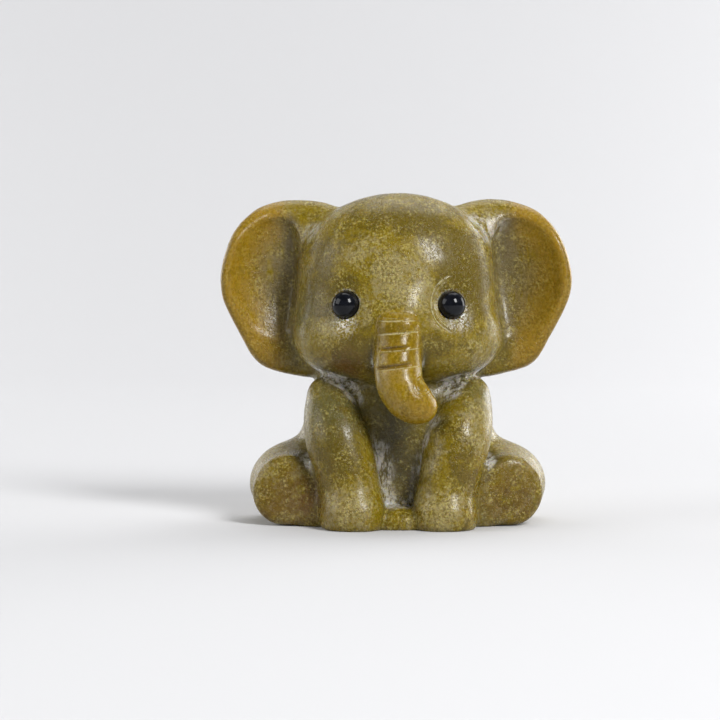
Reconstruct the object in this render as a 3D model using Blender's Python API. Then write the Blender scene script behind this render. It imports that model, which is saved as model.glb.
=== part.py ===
"""A small seated baby elephant, carved in one solid piece of stone, with two round black beads for eyes.

The carving is drawn in millimetres as a field: a number at every place, negative inside the stone.
Geometry nodes work the field out on a grid of voxels, mesh its zero surface and bring it to the real
height. The underside is then lapped flat, and a round socket is drilled for each bead. The elephant
faces -Y and +Z is up. The origin is on the flat underside.
"""

import bpy
from mathutils import Vector

MM = 0.001
HEIGHT = 56 * MM  # underside to crown
EYE_BEAD_DIAMETER = 4.7 * MM
SOCKET_CLEARANCE = 0.3 * MM  # all round the bead, filled with glue
BEAD_SHOWING = 0.56  # share of the bead's diameter that stands out of the face

DRAWN_HEIGHT = 56.1  # the height, in millimetres, at which the figure below is drawn
EYE_OUT, EYE_UP = 8.72, 37.3  # drawn millimetres from the middle of the face, and above the underside
DRAWN_TO_REAL = HEIGHT / DRAWN_HEIGHT
VOXEL = 0.62
TRIANGLES = 7600
SPACE = ((-33.0, -27.0, -2.0), (33.0, 21.0, 60.0))

JADE_OLIVE = (0.165, 0.125, 0.028, 1.0)
BEAD_BLACK = (0.006, 0.007, 0.010, 1.0)


class Field:
    """A number or a point that changes from place to place, kept as a socket of a geometry node tree."""

    tree = None

    def __init__(self, socket):
        self.socket = socket

    @classmethod
    def node(cls, kind, *values, output=0, **settings):
        made = cls.tree.nodes.new(kind)
        for name, value in settings.items():
            setattr(made, name, value)
        for slot, value in zip(made.inputs, values):
            if isinstance(value, Field):
                cls.tree.links.new(value.socket, slot)
            else:
                slot.default_value = value
        return cls(made.outputs[output])

    @classmethod
    def maths(cls, operation, *values):
        return cls.node("ShaderNodeMath", *values, operation=operation)

    @classmethod
    def vector(cls, operation, *values, output=0):
        return cls.node("ShaderNodeVectorMath", *values, output=output, operation=operation)

    def __add__(self, other):
        return Field.maths("ADD", self, other)

    def __sub__(self, other):
        return Field.maths("SUBTRACT", self, other)

    def __rsub__(self, other):
        return Field.maths("SUBTRACT", other, self)

    def __mul__(self, other):
        return Field.maths("MULTIPLY", self, other)

    def __truediv__(self, other):
        return Field.maths("DIVIDE", self, other)

    def __pow__(self, other):
        return Field.maths("POWER", self, other)

    def __neg__(self):
        return Field.maths("MULTIPLY", self, -1.0)

    def __abs__(self):
        return Field.maths("ABSOLUTE", self)

    __radd__ = __add__
    __rmul__ = __mul__


def parts_of(point):
    split = Field.node("ShaderNodeSeparateXYZ", point).socket.node
    return [Field(socket) for socket in split.outputs]


def point_of(x, y, z):
    return Field.node("ShaderNodeCombineXYZ", x, y, z)


def joined(first, second, blend):
    """Both shapes as one, with a fillet about a quarter of blend in radius where they meet."""
    return Field.maths("SMOOTH_MIN", first, second, blend)


def shared(first, second, blend):
    """What lies in both shapes, with its new edge rounded."""
    return Field.maths("SMOOTH_MAX", first, second, blend)


def rounded_block(place, centre, radii, fullness=2.0, depth_fullness=None):
    """An ellipsoid, or with a fullness over 2 a squarer form. Front to back it may have its own fullness."""
    depth_fullness = depth_fullness or fullness
    offset = Field.vector("SUBTRACT", place, centre)
    across, deep, up = parts_of(Field.vector("ABSOLUTE", Field.vector("DIVIDE", offset, radii)))
    outline = across**fullness + up**fullness
    total = outline ** (depth_fullness / fullness) + deep**depth_fullness
    reach = total ** (1 / depth_fullness)
    spread = (outline + 0.0001) ** (depth_fullness / fullness - 1)
    slopes = (
        across ** (fullness - 1) * spread / radii[0],
        deep ** (depth_fullness - 1) / radii[1],
        up ** (fullness - 1) * spread / radii[2],
    )
    slope = Field.vector("LENGTH", point_of(*slopes), output="Value") * reach ** (1 - depth_fullness)
    return (reach - 1) / (slope + 0.001)


def half_space(place, point, normal):
    """Inside is behind the plane through point, whose normal points out."""
    normal = Vector(normal).normalized()
    return Field.vector("DOT_PRODUCT", place, normal, output="Value") - normal.dot(Vector(point))


def tapered_rod(place, start, end):
    """A round rod between two stations, each (x, y, z, radius)."""
    foot, along = Vector(start[:3]), Vector(end[:3]) - Vector(start[:3])
    offset = Field.vector("SUBTRACT", place, foot)
    share = Field.vector("DOT_PRODUCT", offset, along / along.length_squared, output="Value")
    share = Field.node("ShaderNodeClamp", share, 0.0, 1.0)
    nearest = Field.vector("SCALE", along, (0, 0, 0), (0, 0, 0), share)
    gap = Field.vector("DISTANCE", offset, nearest, output="Value")
    return gap - (share * (end[3] - start[3]) + start[3])


def smooth_stations(stations, steps):
    """Stations on the smooth curve through the given ones, with steps of them to each span."""
    padded = [stations[0], *stations, stations[-1]]
    found = []
    for before, start, end, after in zip(padded, padded[1:], padded[2:], padded[3:]):
        for step in range(steps):
            t = step / steps
            weights = (
                -0.5 * t + t**2 - 0.5 * t**3,
                1 - 2.5 * t**2 + 1.5 * t**3,
                0.5 * t + 2 * t**2 - 1.5 * t**3,
                -0.5 * t**2 + 0.5 * t**3,
            )
            spans = zip(before, start, end, after)
            found.append([sum(w * v for w, v in zip(weights, values)) for values in spans])
    return [*found, list(stations[-1])]


def limb(place, stations, steps=3):
    """A limb of changing thickness along the smooth curve through its stations."""
    line = smooth_stations(stations, steps)
    rods = [tapered_rod(place, start, end) for start, end in zip(line, line[1:])]
    shape = rods[0]
    for rod in rods[1:]:
        shape = Field.maths("MINIMUM", shape, rod)
    return shape


def head(place):
    """A high dome over full cheeks, with a low muzzle in front where the trunk starts."""
    dome = rounded_block(place, (0, -0.5, 40.4), (15.1, 13.7, 15.7), 2.5, 2.0)
    cheeks = rounded_block(place, (0, -3.0, 31.8), (17.5, 12.2, 8.6), 2.2)
    muzzle = rounded_block(place, (0, -8.0, 35.8), (7.0, 6.7, 5.2))
    return joined(joined(dome, cheeks, 7.0), muzzle, 4.0)


def hollowed(shape, place, centre, reach, depth):
    """The shape with a soft round hollow worn into it around centre."""
    gap = Field.vector("DISTANCE", place, centre, output="Value") / reach
    return shape + depth * Field.maths("EXPONENT", -(gap * gap))


def ear_outline(x, z):
    """The ear from the front: a full round top, cut straight at the outer corner and along the bottom."""
    flat = point_of(x, 0.0, z)
    round_top = rounded_block(flat, (17.0, 0, 39.4), (13.2, 100.0, 15.6), 2.3)
    outer_cut = half_space(flat, (29.3, 0, 36.4), (0.878, 0, -0.478))
    bottom_cut = half_space(flat, (23.5, 0, 26.2), (0.26, 0, -0.966))
    return shared(shared(round_top, outer_cut, 3.0), bottom_cut, 3.0)


def ear_lean(z):
    """How far the top of the ear leans back."""
    above = Field.maths("MAXIMUM", z - 46.0, 0.0)
    return 0.035 * above * above


def ear(x, y, z):
    """A thick plate that thins towards its rim, curls forward and leans back at its top."""
    out = x - 15.0
    middle = 4.4 - 0.018 * out * out + ear_lean(z)
    half_thickness = 3.9 - 0.12 * out
    return shared(ear_outline(x, z), abs(y - middle) - half_thickness, 3.2)


def ear_hollow(x, y, z):
    """The dish cut into the front of the ear: a steep wall beside the head, and a rising floor."""
    drop = 47.0 - z
    wall = 16.5 + 0.007 * drop * drop
    across, up = x - 17.5, z - 42.5
    floor = 4.2 - 0.042 * across * across - 0.024 * up * up + ear_lean(z)
    opening = shared(ear_outline(x - 1.3, z) + 1.6, wall - x, 9.0)
    return shared(opening, y - floor, 4.2)


def trunk(place):
    """Stands out of the face with an arched top, hangs forward and curls to one side at the tip."""
    root = rounded_block(place, (-0.1, -13.3, 33.0), (3.75, 4.0, 3.9), 2.7)
    hanging = limb(
        place,
        (
            (-0.1, -12.8, 33.6, 3.7),
            (-0.15, -14.0, 30.9, 3.95),
            (-0.2, -15.2, 27.9, 3.95),
            (0.1, -16.3, 24.6, 3.75),
            (1.1, -17.0, 22.7, 3.7),
            (2.1, -17.4, 21.6, 3.5),
            (2.9, -17.6, 21.0, 3.1),
            (3.55, -17.7, 20.7, 2.75),
        ),
    )
    return joined(root, hanging, 1.0)


def torso(place):
    """Wide at the seat and narrower at the shoulders."""
    seat = rounded_block(place, (0, 3.0, 8.0), (18.2, 12.8, 13.0), 2.3)
    back = rounded_block(place, (0, 1.6, 19.0), (15.4, 11.6, 11.0), 2.2)
    return joined(seat, back, 6.0)


def front_leg(place):
    """A leg that narrows from the shoulder to a round foot with its toe pushed forward."""
    leg = limb(
        place,
        (
            (11.9, -6.0, 21.6, 3.7),
            (11.2, -8.9, 18.2, 4.75),
            (10.1, -10.8, 14.4, 5.4),
            (8.8, -11.8, 10.0, 5.15),
            (7.9, -12.2, 5.5, 5.0),
            (7.6, -12.4, 1.0, 5.05),
            (7.6, -12.4, -3.0, 5.05),
        ),
        steps=5,
    )
    foot = rounded_block(place, (7.6, -13.4, 2.2), (5.0, 5.3, 3.9), 2.4)
    return joined(leg, foot, 1.6)


def hind_leg(place):
    """A haunch at the side and a short leg that points forward, with a nearly flat round sole."""
    haunch = rounded_block(place, (15.6, 2.2, 6.3), (10.0, 10.6, 7.6))
    shin = limb(place, ((15.6, 1.0, 5.8, 5.6), (17.5, -4.0, 5.9, 6.0), (19.3, -10.5, 5.9, 6.0)))
    sole = half_space(place, (19.3, -9.9, 5.6), (0.22, -0.965, 0.05))
    beside_front_leg = rounded_block(place, (12.6, -6.2, 3.0), (5.5, 5.4, 6.5), 2.2)
    return joined(joined(haunch, shared(shin, sole, 3.0), 4.0), beside_front_leg, 2.0)


def tail(place):
    upper = ((0, 14.6, 11.0, 1.3), (0.2, 15.6, 7.4, 1.3))
    return limb(place, (*upper, (1.2, 15.8, 4.6, 1.5), (2.2, 15.4, 3.2, 1.8)))


def foot_web(place):
    """The low lip of stone left between the front feet."""
    return rounded_block(place, (0.3, -10.8, 0.0), (4.8, 5.4, 3.6), 3.0)


def elephant_field():
    """The whole carving. The paired forms are drawn once, on the side where x is positive."""
    place = Field.node("GeometryNodeInputPosition")
    x, y, z = parts_of(place)
    side = abs(x)
    paired = point_of(side, y, z)

    ears_x = abs(x + 0.3)
    with_ears = joined(head(place), ear(ears_x, y, z), 2.4)
    dished = shared(with_ears, -ear_hollow(ears_x, y, z), 0.9)
    dished = hollowed(dished, paired, (EYE_OUT, -14.0, EYE_UP), 4.2, 0.6)
    with_trunk = joined(dished, trunk(place), 1.1)

    body = joined(torso(place), hind_leg(paired), 3.0)
    body = joined(body, front_leg(paired), 2.4)
    body = joined(body, foot_web(place), 0.8)
    body = joined(body, tail(place), 1.4)
    whole = joined(body, with_trunk, 1.6)
    return shared(whole, -0.2 - z, 1.4)


def carving_nodes():
    """The node tree that meshes the field and scales the drawing to its real size."""
    tree = bpy.data.node_groups.new("carve elephant", "GeometryNodeTree")
    tree.interface.new_socket("Geometry", in_out="OUTPUT", socket_type="NodeSocketGeometry")
    Field.tree = tree
    low, high = SPACE
    counts = [round((top - bottom) / VOXEL) for bottom, top in zip(low, high)]
    block = Field.node("GeometryNodeVolumeCube", -elephant_field(), -1.0, low, high, *counts)
    surface = Field.node("GeometryNodeVolumeToMesh", block, 1.0, 1.0, 0.0)
    smooth = Field.node("GeometryNodeSetShadeSmooth", surface, True, True)
    to_real = Field.node("GeometryNodeTransform", smooth)
    to_real.socket.node.inputs["Scale"].default_value = [DRAWN_TO_REAL] * 3
    out = tree.nodes.new("NodeGroupOutput")
    tree.links.new(to_real.socket, out.inputs[0])
    return tree


def material(name, colour, roughness):
    made = bpy.data.materials.new(name)
    made.use_nodes = True
    shader = made.node_tree.nodes["Principled BSDF"]
    shader.inputs["Base Color"].default_value = colour
    shader.inputs["Roughness"].default_value = roughness
    shader.inputs["Metallic"].default_value = 0.0
    made.diffuse_color = colour
    return made


def new_collection(name):
    made = bpy.data.collections.new(name)
    bpy.context.scene.collection.children.link(made)
    return made


def new_object(name, mesh, collection):
    made = bpy.data.objects.new(name, mesh)
    collection.objects.link(made)
    return made


def cutter(name, collection):
    """The active primitive, hidden and set aside as a cutter."""
    tool = bpy.context.object
    tool.name = name
    tool.users_collection[0].objects.unlink(tool)
    collection.objects.link(tool)
    tool.hide_render = True
    tool.display_type = "WIRE"
    return tool


def cut(obj, tool):
    boolean = obj.modifiers.new(tool.name, "BOOLEAN")
    boolean.operation = "DIFFERENCE"
    boolean.solver = "EXACT"
    boolean.object = tool


def evaluated(obj):
    bpy.context.view_layer.update()
    return obj.evaluated_get(bpy.context.evaluated_depsgraph_get())


def build_carving(collection, cutters):
    carving = new_object("elephant_carving", bpy.data.meshes.new("elephant_carving"), collection)
    carving.modifiers.new("carve", "NODES").node_group = carving_nodes()
    carving.modifiers.new("triangles", "TRIANGULATE")
    dense = len(evaluated(carving).data.polygons)
    thin_out = carving.modifiers.new("thin out", "DECIMATE")
    thin_out.ratio = TRIANGLES / dense

    reach = 2 * HEIGHT
    bpy.ops.mesh.primitive_cube_add(size=reach, location=(0, 0, -reach / 2))
    cut(carving, cutter("lapping_plate", cutters))
    carving.data.materials.append(material("olive jade", JADE_OLIVE, 0.3))
    return carving


def bead_centre(carving, side):
    """Where the line straight back at the eye meets the face, moved so that the right share shows."""
    start = Vector((side * EYE_OUT * DRAWN_TO_REAL, -HEIGHT, EYE_UP * DRAWN_TO_REAL))
    _, face, normal, _ = evaluated(carving).ray_cast(start, Vector((0, 1, 0)))
    return face + normal * EYE_BEAD_DIAMETER * (BEAD_SHOWING - 0.5)


def build_eye(carving, name, centre, black, collection, cutters):
    radius = EYE_BEAD_DIAMETER / 2
    bpy.ops.mesh.primitive_uv_sphere_add(segments=20, ring_count=12, radius=radius, location=centre)
    bead = bpy.context.object
    bead.name = name
    bead.data.name = name
    bead.data.shade_smooth()
    bead.data.materials.append(black)
    bead.users_collection[0].objects.unlink(bead)
    collection.objects.link(bead)

    socket_radius = radius + SOCKET_CLEARANCE
    bpy.ops.mesh.primitive_uv_sphere_add(segments=20, ring_count=12, radius=socket_radius, location=centre)
    cut(carving, cutter(f"{name}_socket", cutters))


def build():
    for old in list(bpy.data.objects):
        bpy.data.objects.remove(old)
    collection = new_collection("elephant carving")
    cutters = new_collection("cutters")
    carving = build_carving(collection, cutters)
    black = material("black bead", BEAD_BLACK, 0.08)
    centres = {"left_eye_bead": bead_centre(carving, 1), "right_eye_bead": bead_centre(carving, -1)}
    for name, centre in centres.items():
        build_eye(carving, name, centre, black, collection, cutters)


build()
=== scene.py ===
import math

import bmesh
import bpy
from mathutils import Matrix, Vector


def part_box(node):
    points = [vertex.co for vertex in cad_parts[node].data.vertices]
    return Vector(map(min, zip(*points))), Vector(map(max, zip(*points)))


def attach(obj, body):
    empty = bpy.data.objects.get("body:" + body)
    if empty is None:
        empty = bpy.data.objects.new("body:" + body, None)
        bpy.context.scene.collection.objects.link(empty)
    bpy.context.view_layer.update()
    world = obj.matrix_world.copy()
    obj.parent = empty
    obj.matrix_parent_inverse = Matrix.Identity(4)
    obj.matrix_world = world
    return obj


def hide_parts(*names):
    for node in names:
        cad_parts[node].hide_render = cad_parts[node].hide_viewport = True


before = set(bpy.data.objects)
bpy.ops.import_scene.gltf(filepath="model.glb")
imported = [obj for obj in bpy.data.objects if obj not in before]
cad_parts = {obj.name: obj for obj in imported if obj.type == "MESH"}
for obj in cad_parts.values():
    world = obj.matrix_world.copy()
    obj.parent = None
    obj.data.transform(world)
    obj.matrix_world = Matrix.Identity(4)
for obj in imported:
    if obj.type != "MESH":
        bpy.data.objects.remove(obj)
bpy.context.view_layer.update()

# The elephant itself: one block of olive jade, carved, drilled for its eyes and polished by hand.
# It is drawn in millimetres as a field, a number at every place that is negative inside the stone,
# and the zero surface of that field is then meshed and brought to the carving's real height.


class Wire:
    """A socket of a node tree. Sums written with wires become the tree's own Math nodes."""

    def __init__(self, tree, socket=None):
        self.tree = tree
        self.socket = socket

    def node(self, kind, settings=None, values=(), output=0):
        """A new node with these settings, fed with values or wires by socket number or name."""
        made = self.tree.nodes.new(kind)
        for name, value in (settings or {}).items():
            setattr(made, name, value)
        feeds = values.items() if isinstance(values, dict) else enumerate(values)
        for slot, value in feeds:
            if isinstance(value, Wire):
                self.tree.links.new(value.socket, made.inputs[slot])
            else:
                made.inputs[slot].default_value = value
        return Wire(self.tree, made.outputs[output])

    def maths(self, operation, *others):
        return self.node("ShaderNodeMath", {"operation": operation}, [self, *others])

    def vector(self, operation, *others, output=0):
        return self.node("ShaderNodeVectorMath", {"operation": operation}, [self, *others], output)

    def parts(self):
        split = self.node("ShaderNodeSeparateXYZ", {}, [self]).socket.node
        return [Wire(self.tree, socket) for socket in split.outputs]

    def point(self, x, y, z):
        return self.node("ShaderNodeCombineXYZ", {}, [x, y, z])

    def ramp(self, low, high):
        """0 where this is under low, 1 where it is over high, and a soft step between."""
        settings = {"interpolation_type": "SMOOTHSTEP"}
        values = {"Value": self, "From Min": low, "From Max": high}
        return self.node("ShaderNodeMapRange", settings, values)

    def __add__(self, other):
        return self.maths("ADD", other)

    def __sub__(self, other):
        return self.maths("SUBTRACT", other)

    def __rsub__(self, other):
        return self.node("ShaderNodeMath", {"operation": "SUBTRACT"}, [other, self])

    def __mul__(self, other):
        return self.maths("MULTIPLY", other)

    def __truediv__(self, other):
        return self.maths("DIVIDE", other)

    def __pow__(self, other):
        return self.maths("POWER", other)

    def __neg__(self):
        return self.maths("MULTIPLY", -1.0)

    def __abs__(self):
        return self.maths("ABSOLUTE")

    __radd__ = __add__
    __rmul__ = __mul__


def form(draw):
    """Draws a form once, in a node group of its own, so that any tree can use it as a single node."""
    group = bpy.data.node_groups.new(draw.__name__, "GeometryNodeTree")
    group.interface.new_socket("Place", in_out="INPUT", socket_type="NodeSocketVector")
    group.interface.new_socket("Distance", in_out="OUTPUT", socket_type="NodeSocketFloat")
    place = Wire(group, group.nodes.new("NodeGroupInput").outputs[0])
    group.links.new(draw(place).socket, group.nodes.new("NodeGroupOutput").inputs[0])
    return lambda place: place.node("GeometryNodeGroup", {"node_tree": group}, [place])


def joined(first, second, blend):
    """Both shapes as one, with a fillet where they meet."""
    return first.maths("SMOOTH_MIN", second, blend)


def shared(first, second, blend):
    """What lies in both shapes, with its new edge rounded."""
    return first.maths("SMOOTH_MAX", second, blend)


def rounded_block(place, centre, radii, fullness=2.0, depth_fullness=None):
    """An ellipsoid, or a squarer form of the same radii, which may be less square front to back."""
    depth_fullness = depth_fullness or fullness
    offset = place.vector("SUBTRACT", centre).vector("DIVIDE", radii).vector("ABSOLUTE")
    across, deep, up = offset.parts()
    outline = across**fullness + up**fullness
    total = outline ** (depth_fullness / fullness) + deep**depth_fullness
    reach = total ** (1 / depth_fullness)
    shrink = outline.maths("ADD", 0.0001) ** (depth_fullness / fullness - 1)
    slopes = (
        across ** (fullness - 1) * shrink / radii[0],
        deep ** (depth_fullness - 1) / radii[1],
        up ** (fullness - 1) * shrink / radii[2],
    )
    slope = place.point(*slopes).vector("LENGTH", output="Value") * reach ** (1 - depth_fullness)
    return (reach - 1) / (slope + 0.001)


def half_space(place, point, normal):
    """Everything behind the plane through point whose normal points out."""
    normal = Vector(normal).normalized()
    return place.vector("DOT_PRODUCT", normal, output="Value") - normal.dot(Vector(point))


def tapered_rod(place, start, end):
    """A round rod between two stations, each (x, y, z, radius)."""
    foot, along = Vector(start[:3]), Vector(end[:3]) - Vector(start[:3])
    offset = place.vector("SUBTRACT", foot)
    share = offset.vector("DOT_PRODUCT", along / along.length_squared, output="Value")
    share = share.maths("MAXIMUM", 0.0).maths("MINIMUM", 1.0)
    nearest = place.node("ShaderNodeVectorMath", {"operation": "SCALE"}, {0: along, "Scale": share})
    gap = offset.vector("DISTANCE", nearest, output="Value")
    return gap - (share * (end[3] - start[3]) + start[3])


def smooth_stations(stations, steps):
    """Stations on the smooth curve through the given ones, with steps of them to each span."""
    padded = [stations[0], *stations, stations[-1]]
    found = []
    for before, start, end, after in zip(padded, padded[1:], padded[2:], padded[3:]):
        for step in range(steps):
            t = step / steps
            weights = (
                -0.5 * t + t**2 - 0.5 * t**3,
                1 - 2.5 * t**2 + 1.5 * t**3,
                0.5 * t + 2 * t**2 - 1.5 * t**3,
                -0.5 * t**2 + 0.5 * t**3,
            )
            spans = zip(before, start, end, after)
            found.append([sum(w * v for w, v in zip(weights, values)) for values in spans])
    return [*found, list(stations[-1])]


RODS_PER_SPAN = 5


def limb(place, stations):
    """A limb of changing thickness along the smooth curve through its stations."""
    line = smooth_stations(stations, RODS_PER_SPAN)
    rods = [tapered_rod(place, start, end) for start, end in zip(line, line[1:])]
    shape = rods[0]
    for rod in rods[1:]:
        shape = joined(shape, rod, 0.15)
    return shape


def swelling(place, centre, reach, height):
    """How far a soft round swelling lifts the surface; a negative height wears a hollow."""
    gap = place.vector("DISTANCE", centre, output="Value") / reach
    return (-(gap * gap)).maths("EXPONENT") * height


DRAWN_HEIGHT = 56.1
EYE_OUT, EYE_UP = 8.72, 37.3
EARS_OFF_MIDDLE = 0.3
GLUE_LINE = 0.00004
carving_low, carving_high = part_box("elephant_carving")
DRAWN_TO_REAL = (carving_high.z - carving_low.z) / DRAWN_HEIGHT


@form
def head(place):
    """A high dome over full cheeks, with a low muzzle in front where the trunk starts."""
    dome = rounded_block(place, (0, -0.5, 40.4), (17.3, 13.4, 15.7), 2.15, 2.0)
    cheeks = rounded_block(place, (0, -3.0, 31.8), (17.5, 12.2, 8.6), 2.2)
    muzzle = rounded_block(place, (0, -8.0, 35.8), (7.0, 6.7, 5.2))
    return joined(joined(dome, cheeks, 7.0), muzzle, 4.0)


@form
def ear_outline(place):
    """The ear from the front: a full round top, cut straight at the outer corner and along the bottom."""
    flat = place.vector("MULTIPLY", (1, 0, 1))
    round_top = rounded_block(flat, (17.0, 0, 39.4), (13.2, 100.0, 15.6), 2.3)
    outer_cut = half_space(flat, (29.3, 0, 36.4), (0.878, 0, -0.478))
    bottom_cut = half_space(flat, (23.5, 0, 26.2), (0.26, 0, -0.966))
    return shared(shared(round_top, outer_cut, 3.0), bottom_cut, 3.0)


def ear_lean(z):
    """How far the top of the ear leans back."""
    lean_start, lean_bend = 46.0, 0.035
    above = (z - lean_start).maths("MAXIMUM", 0.0)
    return above * above * lean_bend


@form
def ear(place):
    """A thick plate that thins towards its rim, curls forward and leans back at its top."""
    x, y, z = place.parts()
    root_out, root_depth, root_half_thickness = 15.0, 4.4, 3.9
    forward_curl, thinning = 0.018, 0.12
    out = x - root_out
    middle = root_depth - forward_curl * out * out + ear_lean(z)
    half_thickness = root_half_thickness - thinning * out
    plate = shared(ear_outline(place), abs(y - middle) - half_thickness, 3.2)
    return plate - swelling(place, (12.5, 0.5, 50.0), 4.6, 1.1)


@form
def ear_hollow(place):
    """The dish ground into the front of the ear: a steep wall beside the head, and a rising floor."""
    x, y, z = place.parts()
    wall_top, wall_out, wall_slant = 47.0, 16.5, 0.007
    drop = wall_top - z
    wall = wall_out + wall_slant * drop * drop
    floor_depth, rise_outwards, rise_upwards = 4.2, 0.042, 0.024
    across, up = x - 17.5, z - 42.5
    floor = floor_depth - rise_outwards * across * across - rise_upwards * up * up + ear_lean(z)
    shift_out, rim_width = 1.3, 1.6
    moved_out = place.vector("SUBTRACT", (shift_out, 0, 0))
    opening = shared(ear_outline(moved_out) + rim_width, wall - x, 9.0)
    return shared(opening, y - floor, 4.2)


@form
def trunk(place):
    """Stands out of the face with an arched top, hangs forward and curls to one side at the tip."""
    root = rounded_block(place, (-0.1, -13.3, 33.0), (3.75, 4.0, 3.9), 2.7)
    hanging = limb(
        place,
        (
            (-0.1, -12.8, 33.6, 3.7),
            (-0.15, -14.0, 30.9, 3.95),
            (-0.2, -15.2, 27.9, 3.95),
            (0.1, -16.3, 24.6, 3.75),
            (1.1, -17.0, 22.7, 3.7),
            (2.1, -17.4, 21.6, 3.5),
            (2.9, -17.6, 21.0, 3.1),
            (3.55, -17.7, 20.7, 2.75),
        ),
    )
    return joined(root, hanging, 1.0)


@form
def torso(place):
    """Wide at the seat and narrower at the shoulders."""
    seat = rounded_block(place, (0, 3.0, 8.0), (18.2, 12.8, 13.0), 2.3)
    back = rounded_block(place, (0, 1.6, 19.0), (15.4, 11.6, 11.0), 2.2)
    return joined(seat, back, 6.0)


@form
def front_leg(place):
    """A leg that narrows from the shoulder to a round foot with its toe pushed forward."""
    leg = limb(
        place,
        (
            (11.9, -6.0, 21.6, 3.7),
            (11.2, -8.9, 18.2, 4.75),
            (10.1, -10.8, 14.4, 5.4),
            (8.8, -11.8, 10.0, 5.15),
            (7.9, -12.2, 5.5, 5.0),
            (7.6, -12.4, 1.0, 5.05),
            (7.6, -12.4, -3.0, 5.05),
        ),
    )
    foot = rounded_block(place, (7.6, -13.4, 2.2), (5.0, 5.3, 3.9), 2.4)
    return joined(leg, foot, 3.0)


@form
def hind_leg(place):
    """A haunch at the side and a short leg that points forward, with a nearly flat round sole."""
    haunch = rounded_block(place, (15.6, 2.2, 6.3), (10.0, 10.6, 7.6))
    shin = limb(place, ((15.6, 1.0, 5.8, 5.6), (17.5, -4.0, 5.9, 6.0), (19.3, -10.5, 5.9, 6.0)))
    sole = half_space(place, (19.3, -9.9, 5.6), (0.22, -0.965, 0.05))
    beside_front_leg = rounded_block(place, (12.6, -6.2, 3.0), (5.5, 5.4, 6.5), 2.2)
    return joined(joined(haunch, shared(shin, sole, 3.0), 4.0), beside_front_leg, 2.0)


@form
def tail(place):
    """A short stub that lies down the back and turns to one side at the base."""
    upper = ((0, 14.6, 11.0, 1.3), (0.2, 15.6, 7.4, 1.3))
    return limb(place, (*upper, (1.2, 15.8, 4.6, 1.5), (2.2, 15.4, 3.2, 1.8)))


@form
def foot_web(place):
    """The low lip of stone left between the front feet."""
    return rounded_block(place, (0.3, -10.8, 0.0), (4.8, 5.4, 3.6), 3.0)


@form
def elephant(place):
    """The whole carving. The paired forms are drawn once, on the side where x is positive."""
    x, y, z = place.parts()
    paired = place.point(abs(x), y, z)
    by_ear = place.point(abs(x + EARS_OFF_MIDDLE), y, z)
    with_ears = joined(head(place), ear(by_ear), 2.4)
    dished = shared(with_ears, -ear_hollow(by_ear), 0.9)
    eye_hollows = swelling(paired, (EYE_OUT, -14.0, EYE_UP), 4.2, -0.6)
    above_trunk = swelling(place, (1.0, -14.4, 37.2), 3.0, 0.6)
    with_trunk = joined(dished - eye_hollows - above_trunk, trunk(place), 0.5)

    body = joined(torso(place), hind_leg(paired), 3.0)
    body = joined(body, front_leg(paired), 2.4)
    body = joined(body, foot_web(place), 0.8)
    body = joined(body, tail(place), 1.4)
    whole = joined(body, with_trunk, 1.6)
    return shared(whole, -0.2 - z, 1.4)


# The cuts of the finer tools: the rings across the trunk, the ring scratched round one eye, the
# drilled seats of the beads, and the slight unevenness that a hand-held grinding wheel leaves.


def rings(place, lines):
    """Lines across the front of the trunk: height, rise, left end, right end, depth and half width."""
    x, y, z = place.parts()
    depth = 0.0
    for height, rise, left, right, deep, half_width in lines:
        off = (z - (x * rise + height)) / half_width
        cut = (-(off * off)).maths("EXPONENT") * deep
        depth = cut * (x - left).ramp(-0.2, 1.6) * (right - x).ramp(-0.2, 2.4) + depth
    return depth * (-13.5 - y).ramp(0.0, 2.0)


@form
def deep_cuts(place):
    """The two deep rings, each cut a little over half a millimetre into the trunk."""
    return rings(place, ((30.40, 0.09, -3.5, 2.2, 0.52, 0.30), (27.50, 0.13, -4.0, 2.7, 0.58, 0.32)))


@form
def light_cuts(place):
    """Fine lines across the root of the trunk, and slips of the tool beside the deep rings."""
    upper = ((35.30, 0.02, -3.2, 1.6, 0.07, 0.11), (34.85, 0.02, -4.0, 3.8, 0.14, 0.13))
    lower = ((32.85, 0.08, -4.0, 4.2, 0.14, 0.14), (30.05, 0.09, -4.2, 4.6, 0.10, 0.12))
    return rings(place, (*upper, *lower, (27.10, 0.13, -4.4, 4.6, 0.10, 0.12)))


@form
def ripples(place):
    """Fine rings left by the burr that shaped the inside of the trunk's bend."""
    x, y, z = place.parts()
    across, up = x - 3.9, z - 24.4
    reach = (across * across + up * up) ** 0.5
    near = (-16.0 - y).ramp(0.0, 1.5) * (reach.ramp(0.5, 1.0) - reach.ramp(1.7, 2.3))
    radians_per_millimetre, ripple_height = 13.5, 0.025
    return (reach * radians_per_millimetre).maths("SINE") * near * ripple_height


@form
def eye_ring(place):
    """The fine double ring scratched beside the left eye, towards the trunk."""
    x, y, z = place.parts()
    across, up = x - 10.35, z - 37.7
    reach = (across * across + up * up) ** 0.5
    outer_radius, outer_half_width = 4.95, 0.13
    inner_radius, inner_half_width = 4.45, 0.16
    depth, inner_share = 0.2, 0.4
    outer = (reach - outer_radius) / outer_half_width
    inner = (reach - inner_radius) / inner_half_width
    marks = (-(outer * outer)).maths("EXPONENT") + (-(inner * inner)).maths("EXPONENT") * inner_share
    return marks * (-across).ramp(1.2, 3.0) * (-10.0 - y).ramp(0.0, 1.0) * depth


def hand_unevenness(place):
    """Long shallow waves, and shorter ones left by the polishing felt."""

    def waves(size):
        values = {"Vector": place, "Scale": 1 / size, "Detail": 1.0}
        return place.node("ShaderNodeTexNoise", {}, values) - 0.5

    return waves(9.0) * 0.55 + waves(3.2) * 0.13


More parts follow.
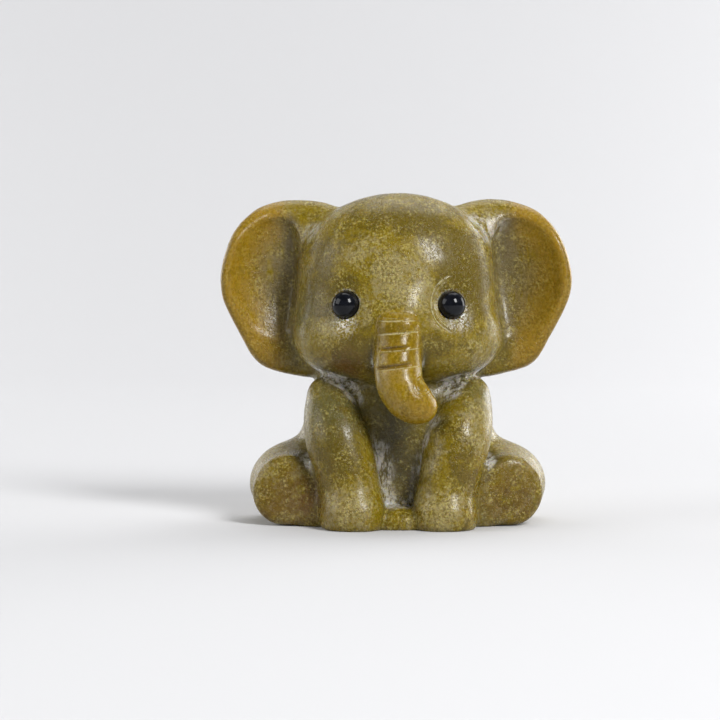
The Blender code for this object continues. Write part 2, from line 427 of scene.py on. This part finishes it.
BEAD_NAMES = ("left_eye_bead", "right_eye_bead")
bead_centres = [sum(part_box(name), Vector()) / 2 / DRAWN_TO_REAL for name in BEAD_NAMES]
bead_low, bead_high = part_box("left_eye_bead")
BEAD_RADIUS = (bead_high.z - bead_low.z) / 2
SEAT_RADIUS = (BEAD_RADIUS + GLUE_LINE) / DRAWN_TO_REAL


@form
def finished_elephant(place):
    """The carving with its fine cuts and its drilled eyes."""
    shape = elephant(place) + hand_unevenness(place) + eye_ring(place) + ripples(place)
    shape = shape + deep_cuts(place) + light_cuts(place)
    for centre in bead_centres:
        seat = SEAT_RADIUS - place.vector("DISTANCE", centre, output="Value")
        shape = shared(shape, seat, 0.25)
    return shape


def run_nodes(name, write, mesh):
    """The mesh that a tree of geometry nodes makes from mesh. write fills the tree, up to its last wire."""
    tree = bpy.data.node_groups.new(name, "GeometryNodeTree")
    tree.interface.new_socket("Geometry", in_out="INPUT", socket_type="NodeSocketGeometry")
    tree.interface.new_socket("Geometry", in_out="OUTPUT", socket_type="NodeSocketGeometry")
    given = Wire(tree, tree.nodes.new("NodeGroupInput").outputs[0])
    last = write(given)
    tree.links.new(last.socket, tree.nodes.new("NodeGroupOutput").inputs[0])
    holder = bpy.data.objects.new(name, mesh)
    bpy.context.collection.objects.link(holder)
    holder.modifiers.new(name, "NODES").node_group = tree
    bpy.context.view_layer.update()
    made = bpy.data.meshes.new_from_object(holder.evaluated_get(bpy.context.evaluated_depsgraph_get()))
    bpy.data.objects.remove(holder)
    return made


VOXEL = 0.5
SPACE_LOW, SPACE_HIGH = (-33.0, -25.0, -2.0), (33.0, 21.0, 60.0)


def rough_out(given):
    """The field on a grid of voxels, and its zero surface."""
    place = given.node("GeometryNodeInputPosition")
    counts = [round((high - low) / VOXEL) for low, high in zip(SPACE_LOW, SPACE_HIGH)]
    values = [-elephant(place), -1.0, SPACE_LOW, SPACE_HIGH, *counts]
    block = given.node("GeometryNodeVolumeCube", {}, values)
    return given.node("GeometryNodeVolumeToMesh", {}, {"Volume": block, "Threshold": 0.0})


def finer_mesh(mesh, wanted, cuts):
    """Cuts the faces whose middle is wanted into smaller ones."""
    work = bmesh.new()
    work.from_mesh(mesh)
    edges = {edge for face in work.faces if wanted(face.calc_center_median()) for edge in face.edges}
    bmesh.ops.subdivide_edges(work, edges=list(edges), cuts=cuts, use_grid_fill=True)
    work.to_mesh(mesh)
    work.free()


def has_fine_cuts(spot):
    """The front of the trunk, and the face round each eye."""
    on_trunk = abs(spot.x - 1.0) < 5.6 and 21.5 < spot.z < 37.5 and spot.y < -13.5
    by_left_eye = spot.y < -9.0 and (spot - bead_centres[0]).length < 5.3
    by_right_eye = spot.y < -9.0 and (spot - bead_centres[1]).length < 3.8
    return on_trunk or by_left_eye or by_right_eye


SETTLING_STEPS = 3


def settle(given):
    """Moves every point onto the finished surface, in a few steps along its normal."""
    surface = given
    for _ in range(SETTLING_STEPS):
        out = given.node("GeometryNodeInputNormal")
        off = finished_elephant(given.node("GeometryNodeInputPosition"))
        push = given.node("ShaderNodeVectorMath", {"operation": "SCALE"}, {0: out, "Scale": -off})
        surface = given.node("GeometryNodeSetPosition", {}, {"Geometry": surface, "Offset": push})
    return surface


def chipped_edges(place):
    """Where the drill has left the stone rough: round both seats, and most below each eye. The finish
    paints pale specks there, partly chipped stone and partly painted glints.
    """
    rough = 0.0
    for centre in bead_centres:
        gap = place.vector("DISTANCE", centre, output="Value") - SEAT_RADIUS
        rough = (1.0 - gap.ramp(0.15, 0.60)) * 0.3 + rough
    by_left = swelling(place, bead_centres[0] + Vector((1.9, -1.4, -2.1)), 1.7, 1.4)
    by_right = swelling(place, bead_centres[1] + Vector((-0.4, -1.2, -2.9)), 1.7, 0.9)
    return rough + by_left + by_right


# Clouds in the stone, dust on it, and painted shade and sheen: the place of each patch, and its reach, in
# drawn millimetres.
PALE_PATCHES = (
    ((-0.8, -12.5, 44.8), 7.5),
    ((-1.0, -14.0, 37.6), 3.4),
    ((-11.0, -12.0, 32.8), 3.4),
    ((-21.5, 0.0, 37.5), 6.0),
    ((20.5, 0.0, 40.0), 6.0),
    ((7.0, -19.0, 4.0), 3.5),
    ((-8.0, -19.0, 4.0), 3.0),
)
DEEP_PATCHES = (
    ((-0.5, -8.0, 50.5), 5.5),
    ((6.5, -9.0, 48.5), 4.5),
    ((-12.6, -9.5, 45.0), 3.4),
    ((-10.5, -13.5, 18.0), 4.6),
    ((12.8, -9.0, 40.5), 5.0),
    ((11.2, -9.0, 46.0), 3.6),
    ((-14.4, -8.5, 37.4), 4.2),
    ((-0.8, -17.0, 33.6), 2.8),
    ((5.8, -13.5, 31.8), 2.8),
    ((-6.6, -13.5, 31.0), 3.0),
    ((-9.5, -12.0, 28.8), 3.6),
    ((-8.0, -12.0, 40.5), 2.2),
    ((8.0, -12.0, 41.0), 2.2),
    ((-10.0, -15.0, 12.0), 3.5),
    ((10.0, -15.0, 9.0), 3.5),
)
# Painted shade across the belly, between the legs.
SHADED_PATCHES = (
    ((-0.5, -8.5, 17.5), 5.0),
    ((0.3, -8.5, 9.5), 4.6),
)
# Dust in the folds, and painted sheen at the roots of the ears, where the stone catches the light.
DUST_AND_SHEEN_PATCHES = (
    ((-2.8, -11.0, 13.0), 2.0),
    ((-2.6, -11.0, 9.4), 2.4),
    ((-2.3, -11.4, 5.6), 2.3),
    ((-0.4, -11.8, 3.8), 2.0),
    ((3.4, -11.5, 10.5), 1.5),
    ((4.8, -12.0, 14.5), 1.6),
    ((14.6, -2.0, 51.0), 4.6),
    ((-15.5, -2.5, 50.2), 3.2),
    ((6.6, -12.0, 17.6), 1.7),
    ((-7.5, -9.5, 22.2), 2.0),
    ((9.0, -10.0, 22.8), 2.2),
)
# Brown in the stone, made darker as painted shade under the left cheek, on the soles and beside the left
# front foot.
BROWN_AND_SHADE_PATCHES = (
    ((-8.5, -12.0, 27.0), 3.4),
    ((20.5, -14.5, 5.0), 7.0),
    ((-20.0, -14.5, 4.0), 7.5),
    ((-13.5, -9.0, 5.0), 3.6),
)
MOSSY_PATCHES = (
    ((-15.8, -6.0, 35.0), 3.6),
    ((-11.0, -11.0, 19.5), 5.8),
    ((12.0, -8.5, 21.5), 3.8),
    ((-16.5, -4.0, 9.0), 3.4),
    ((0.0, -10.0, 22.0), 4.0),
)


def patches(place, spots):
    """Soft round patches, as one share between 0 and 1."""
    total = 0.0
    for centre, reach in spots:
        total = swelling(place, centre, reach, 1.0) + total
    return total.maths("MINIMUM", 1.0)


def read_and_size(given):
    """Notes on each point what the finish needs to know, laps the base flat and sets the real size."""
    place = given.node("GeometryNodeInputPosition")
    out = given.node("GeometryNodeInputNormal")
    x, y, z = place.parts()

    def probe(distance):
        step = given.node("ShaderNodeVectorMath", {"operation": "SCALE"}, {0: out, "Scale": distance})
        return elephant(place.vector("ADD", step))

    def closed_in(distance, low, high):
        return 1.0 - (probe(distance) / distance).ramp(low, high)

    by_ear = place.point(abs(x + EARS_OFF_MIDDLE), y, z)
    notes = {
        # painted shade: darker where folds and hollows close in round the surface, and across the belly
        "painted_shade": closed_in(2.4, 0.1, 1.0).maths("MAXIMUM", patches(place, SHADED_PATCHES)),
        # dust in the creases, with painted sheen at the roots of the ears
        "crease": closed_in(1.6, 0.0, 0.9) + patches(place, DUST_AND_SHEEN_PATCHES) * 0.9,
        "in_dish": 1.0 - ear_hollow(by_ear).ramp(0.15, 1.2),
        "on_trunk": 1.0 - trunk(place).ramp(-0.2, 0.5),
        # where the ear's rim is thin, for a painted glow of light through it
        "ear_rim": ear_outline(by_ear).ramp(-9.0, -2.5) * abs(x).ramp(18.0, 21.5) * z.ramp(21.0, 24.0),
        "pale": patches(place, PALE_PATCHES),
        "deep": patches(place, DEEP_PATCHES),
        "mossy": patches(place, MOSSY_PATCHES),
        # brown in the stone, partly painted shade
        "brown_and_shade": patches(place, BROWN_AND_SHADE_PATCHES),
        "cut": deep_cuts(place).ramp(0.05, 0.30),
        "scratch": light_cuts(place).ramp(0.02, 0.12) + eye_ring(place).ramp(0.02, 0.14) * 0.9,
        "chipped": chipped_edges(place),
    }
    surface = given
    for name, value in notes.items():
        feeds = {"Geometry": surface, "Name": name, "Value": value}
        surface = given.node("GeometryNodeStoreNamedAttribute", {"data_type": "FLOAT"}, feeds)
    lapped = place.point(x, y, z.maths("MAXIMUM", 0.0))
    surface = given.node("GeometryNodeSetPosition", {}, {"Geometry": surface, "Position": lapped})
    surface = given.node("GeometryNodeSetShadeSmooth", {}, {0: surface})
    return given.node("GeometryNodeTransform", {}, {"Geometry": surface, "Scale": [DRAWN_TO_REAL] * 3})


CUTS_PER_EDGE = 3

stone = run_nodes("rough out", rough_out, bpy.data.meshes.new("stone"))
finer_mesh(stone, has_fine_cuts, CUTS_PER_EDGE)
stone = run_nodes("settle", settle, stone)
stone = run_nodes("read and size", read_and_size, stone)

carved_elephant = bpy.data.objects.new("carved_elephant", stone)
bpy.context.collection.objects.link(carved_elephant)
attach(carved_elephant, "root")
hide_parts("elephant_carving")


def jade():
    """Olive jade: clouded and flecked inside, with a painted amber glow where thin stone would let light
    through, painted shade and dust with painted sheen in its folds, waxy on top.
    """
    made = bpy.data.materials.new("olive jade")
    made.use_nodes = True
    tree = made.node_tree
    shader = tree.nodes["Principled BSDF"]
    pen = Wire(tree)
    where = pen.node("ShaderNodeTexCoord", output="Object")
    millimetres = where.node("ShaderNodeVectorMath", {"operation": "SCALE"}, {0: where, "Scale": 1000.0})

    def clouds(size, detail=3.0, roughness=0.55, bend=0.0, shift=0.0):
        moved = millimetres.vector("ADD", (shift, shift, shift))
        values = {"Vector": moved, "Scale": 1 / size, "Detail": detail}
        values.update({"Roughness": roughness, "Distortion": bend})
        return pen.node("ShaderNodeTexNoise", {}, values)

    def note(name):
        return pen.node("ShaderNodeAttribute", {"attribute_name": name}, output="Fac")

    def mixed(under, over, share):
        settings = {"data_type": "RGBA", "clamp_factor": True}
        return pen.node("ShaderNodeMix", settings, {"Factor": share, 6: under, 7: over}, output=2)

    painted_shade, crease, in_dish, on_trunk = map(note, ("painted_shade", "crease", "in_dish", "on_trunk"))
    cut, scratch, chipped = map(note, ("cut", "scratch", "chipped"))
    ear_rim, pale, deep, mossy, brown_and_shade = map(note, ("ear_rim", "pale", "deep", "mossy", "brown_and_shade"))

    olive = (0.200, 0.140, 0.002, 1)
    dark_gold = (0.098, 0.067, 0.001, 1)
    tan = (0.280, 0.228, 0.092, 1)
    amber = (0.300, 0.172, 0.002, 1)
    smoke = (0.168, 0.128, 0.055, 1)
    moss = (0.090, 0.088, 0.036, 1)
    shaded_bark = (0.105, 0.045, 0.006, 1)
    shade_colour = (0.038, 0.033, 0.014, 1)
    dust_and_sheen = (0.600, 0.580, 0.530, 1)
    cream = (0.480, 0.405, 0.125, 1)
    glow_gold = (0.190, 0.108, 0.001, 1)
    chalk = (0.560, 0.500, 0.270, 1)
    glint = (0.850, 0.830, 0.760, 1)

    darker = clouds(7.0, 5.0, 0.6, 0.8) * 0.5 + clouds(1.3, 5.0, 0.75, 0.0, 25) * 0.5
    darker = darker + deep * 0.16 - pale * 0.12
    colour = mixed(olive, dark_gold, darker.ramp(0.48, 0.60) * 0.9)
    paler = clouds(5.0, 5.0, 0.65, 0.6, 40) * 0.5 + clouds(0.9, 5.0, 0.75, 0.0, 45) * 0.5
    paler = paler + pale * 0.09 - deep * 0.16
    colour = mixed(colour, tan, paler.ramp(0.48, 0.58) * 0.85)
    colour = mixed(colour, moss, mossy * clouds(2.4, 5.0, 0.7, shift=61).ramp(0.32, 0.50) * 0.9)
    # brown patches, partly painted shade on surfaces that face down
    colour = mixed(colour, shaded_bark, brown_and_shade * clouds(2.4, 5.0, 0.7, shift=66).ramp(0.34, 0.52) * 0.9)
    combed = millimetres.vector("MULTIPLY", (1.0, 1.0, 0.08))
    tool_lines = pen.node("ShaderNodeTexNoise", {}, {"Vector": combed, "Scale": 1.9, "Detail": 3.0})
    smoky = clouds(3.0, 6.0, 0.7, shift=90) * 0.55 + tool_lines * 0.45
    colour = mixed(colour, smoke, in_dish * smoky.ramp(0.38, 0.54) * 0.9)
    # painted glow: amber where light would pass through thin stone, at the ear rims and on the trunk, most
    # at its tip
    height_up = millimetres.parts()[2]
    tip = on_trunk * (1.0 - height_up.ramp(19.0, 31.0))
    glow_share = (ear_rim * 0.9 + on_trunk * 0.50 + tip * 0.50).maths("MINIMUM", 1.0)
    colour = mixed(colour, amber, glow_share * 0.95)
    # painted shade: a dark olive grey laid into folds and hollows
    colour = mixed(colour, shade_colour, painted_shade * 0.85)
    # pale streaks: dust in the creases, and painted sheen at the roots of the ears
    upright = millimetres.vector("MULTIPLY", (1.0, 1.0, 0.35))
    streaks = {"Vector": upright, "Scale": 0.75, "Detail": 6.0, "Roughness": 0.75}
    streaks = pen.node("ShaderNodeTexNoise", {}, streaks)
    residue_and_sheen = crease.ramp(0.25, 0.75) * streaks.ramp(0.42, 0.56)
    colour = mixed(colour, dust_and_sheen, residue_and_sheen * 0.85)
    clusters = clouds(2.6, 4.0, 0.6, shift=70) + pale * 0.08 - deep * 0.04
    clusters = clusters.ramp(0.44, 0.60) * (1.0 - glow_share * 0.6)
    grain = clouds(0.45, 3.0, 0.75, 0.0, 15)
    colour = mixed(colour, cream, grain.ramp(0.50, 0.64) * (clusters * 0.42 + 0.10))
    colour = mixed(colour, dark_gold, (1.0 - grain).ramp(0.48, 0.60) * (clusters * 0.30 + 0.35))
    # painted glow and shade: a saturated dark gold inside the deep rings, for light shining through the cut
    # stone and the shade in the groove
    colour = mixed(colour, glow_gold, cut * 0.85)
    colour = mixed(colour, chalk, scratch * clouds(0.4, 2.0, shift=8).ramp(0.32, 0.52) * 0.7)
    # painted glints: pale specks on the chipped stone round the eyes, partly the whiteness of the chips
    glints = (clouds(0.34, 2.0, 0.6, shift=12).ramp(0.46, 0.58) * chipped).maths("MINIMUM", 1.0)
    colour = mixed(colour, glint, glints * 0.9)
    tree.links.new(colour.socket, shader.inputs["Base Color"])

    rubbed = clouds(0.9, 5.0, 0.65, shift=55).ramp(0.35, 0.70)
    roughness = (0.21 + rubbed * 0.16) - on_trunk * 0.07
    tree.links.new(roughness.socket, shader.inputs["Roughness"])

    pits = clouds(0.26, 1.0, 0.5, shift=5).ramp(0.52, 0.68) * (1.0 - on_trunk * 0.85)
    height = tool_lines * in_dish * 0.9 - pits - glints * 2.0
    bump = pen.node("ShaderNodeBump", {}, {"Strength": 0.5, "Distance": 0.00006, "Height": height})
    tree.links.new(bump.socket, shader.inputs["Normal"])

    shader.inputs["IOR"].default_value = 1.55
    shader.inputs["Specular IOR Level"].default_value = 0.28
    shader.inputs["Subsurface Weight"].default_value = 0.35
    shader.inputs["Subsurface Radius"].default_value = (1.0, 0.55, 0.12)
    shader.inputs["Subsurface Scale"].default_value = 0.0016
    return made


stone.materials.clear()
stone.materials.append(jade())


# The eyes: two round beads of black stone, ground and polished bright. Each is sunk a little less
# than half its depth into a drilled seat, and held there by a thin line of glue.


def polished_bead(name, centre):
    """A fine round bead in the place of the plain one."""
    work = bmesh.new()
    bmesh.ops.create_uvsphere(work, u_segments=96, v_segments=64, radius=BEAD_RADIUS)
    mesh = bpy.data.meshes.new(name)
    work.to_mesh(mesh)
    work.free()
    mesh.transform(Matrix.Translation(centre))
    mesh.shade_smooth()
    bead = bpy.data.objects.new(name, mesh)
    bpy.context.collection.objects.link(bead)
    return bead


def black_stone():
    """Black stone, polished, with faint smudges that dull it here and there."""
    made = bpy.data.materials.new("black bead")
    made.use_nodes = True
    tree = made.node_tree
    shader = tree.nodes["Principled BSDF"]
    pen = Wire(tree)
    where = pen.node("ShaderNodeTexCoord", output="Object")
    smudges = pen.node("ShaderNodeTexNoise", {}, {"Vector": where, "Scale": 900.0, "Detail": 4.0})
    roughness = 0.12 + smudges.ramp(0.4, 0.8) * 0.10
    tree.links.new(roughness.socket, shader.inputs["Roughness"])
    black, smudge = (0.002, 0.0025, 0.004, 1), (0.006, 0.007, 0.011, 1)
    tint = {"Factor": smudges.ramp(0.3, 0.8), 6: black, 7: smudge}
    colour = pen.node("ShaderNodeMix", {"data_type": "RGBA"}, tint, output=2)
    tree.links.new(colour.socket, shader.inputs["Base Color"])
    shader.inputs["IOR"].default_value = 1.52
    shader.inputs["Specular IOR Level"].default_value = 0.24
    return made


bead_finish = black_stone()
for side, centre in zip(("left", "right"), bead_centres):
    eye = polished_bead(f"{side}_eye", centre * DRAWN_TO_REAL)
    eye.data.materials.append(bead_finish)
    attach(eye, "root")
    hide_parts(f"{side}_eye_bead")


# The studio: a pale sweep of board that curves up behind, in a pale room. A narrow bright softbox
# stands at the upper right, a wide dim one at the left and one above, behind the carving, and two
# low panels light its back from both sides.


def sweep():
    """A floor that turns up into a wall, as one bent sheet."""
    half_width, front, bend_start, bend, top = 1.2, -0.9, 0.35, 0.25, 1.2
    steps = 12
    profile = [(front, 0.0), (bend_start, 0.0)]
    for step in range(1, steps + 1):
        turn = step / steps * math.pi / 2
        profile.append((bend_start + bend * math.sin(turn), bend * (1 - math.cos(turn))))
    profile.append((bend_start + bend, top))
    mesh = bpy.data.meshes.new("sweep")
    points = [(x, y, z) for x in (-half_width, half_width) for y, z in profile]
    count = len(profile)
    faces = [(i, i + count, i + count + 1, i + 1) for i in range(count - 1)]
    mesh.from_pydata(points, [], faces)
    mesh.shade_smooth()
    board = bpy.data.objects.new("sweep", mesh)
    bpy.context.collection.objects.link(board)
    paper = bpy.data.materials.new("pale board")
    paper.use_nodes = True
    shader = paper.node_tree.nodes["Principled BSDF"]
    shader.inputs["Base Color"].default_value = (0.575, 0.575, 0.585, 1)
    shader.inputs["Roughness"].default_value = 0.9
    mesh.materials.append(paper)


sweep()

OBJECT_MIDDLE = Vector((0, -0.002, 0.028))


def softbox(name, azimuth, elevation, distance, width, height, radiance):
    """A flat light of this size and brightness, aimed at the carving. Azimuth 0 is the camera's side."""
    around, above = math.radians(azimuth), math.radians(elevation)
    level = math.cos(above)
    towards = Vector((math.sin(around) * level, -math.cos(around) * level, math.sin(above)))
    lamp = bpy.data.lights.new(name, "AREA")
    lamp.shape = "RECTANGLE"
    lamp.size = width
    lamp.size_y = height
    lamp.energy = radiance * math.pi * width * height
    light = bpy.data.objects.new(name, lamp)
    light.location = OBJECT_MIDDLE + towards * distance
    light.rotation_euler = towards.to_track_quat("Z", "Y").to_euler()
    bpy.context.collection.objects.link(light)


# Name, azimuth and elevation in degrees, distance, width and height in metres, and radiance.
LIGHTS = (
    ("key softbox", 36, 37, 0.75, 0.22, 0.34, 24.5),
    ("fill softbox", -74, 26, 0.75, 0.46, 0.46, 3.0),
    ("top softbox", 170, 62, 0.85, 0.60, 0.60, 2.4),
    ("right panel", 126, 8, 0.60, 0.54, 0.50, 5.0),
    ("left panel", -128, 6, 0.60, 0.50, 0.50, 2.6),
)
for light in LIGHTS:
    softbox(*light)

room = bpy.data.worlds.new("white room")
room.use_nodes = True
glow = room.node_tree.nodes["Background"]
glow.inputs["Color"].default_value = (0.96, 0.98, 1.0, 1)
glow.inputs["Strength"].default_value = 0.16
bpy.context.scene.world = room

# The camera: in front, a little above the carving's middle, looking slightly down through a long
# lens. It aims beside the carving, so the carving stands a little right of the frame's middle.

CAMERA_DISTANCE = 0.450
CAMERA_RISE = math.radians(3.0)
FRAME_WIDTH_AT_CARVING = 0.1234
AIM = Vector((-0.00643, 0.0, 0.0275))

lens = bpy.data.cameras.new("camera")
lens.sensor_fit = "HORIZONTAL"
lens.sensor_width = 36.0
lens.lens = lens.sensor_width * CAMERA_DISTANCE / FRAME_WIDTH_AT_CARVING
lens.clip_start = 0.01
camera = bpy.data.objects.new("camera", lens)
back = Vector((0, -math.cos(CAMERA_RISE), math.sin(CAMERA_RISE)))
camera.location = AIM + back * CAMERA_DISTANCE
camera.rotation_euler = back.to_track_quat("Z", "Y").to_euler()
bpy.context.collection.objects.link(camera)
bpy.context.scene.camera = camera
bpy.context.scene.view_settings.view_transform = "Standard"

bpy.context.view_layer.update()
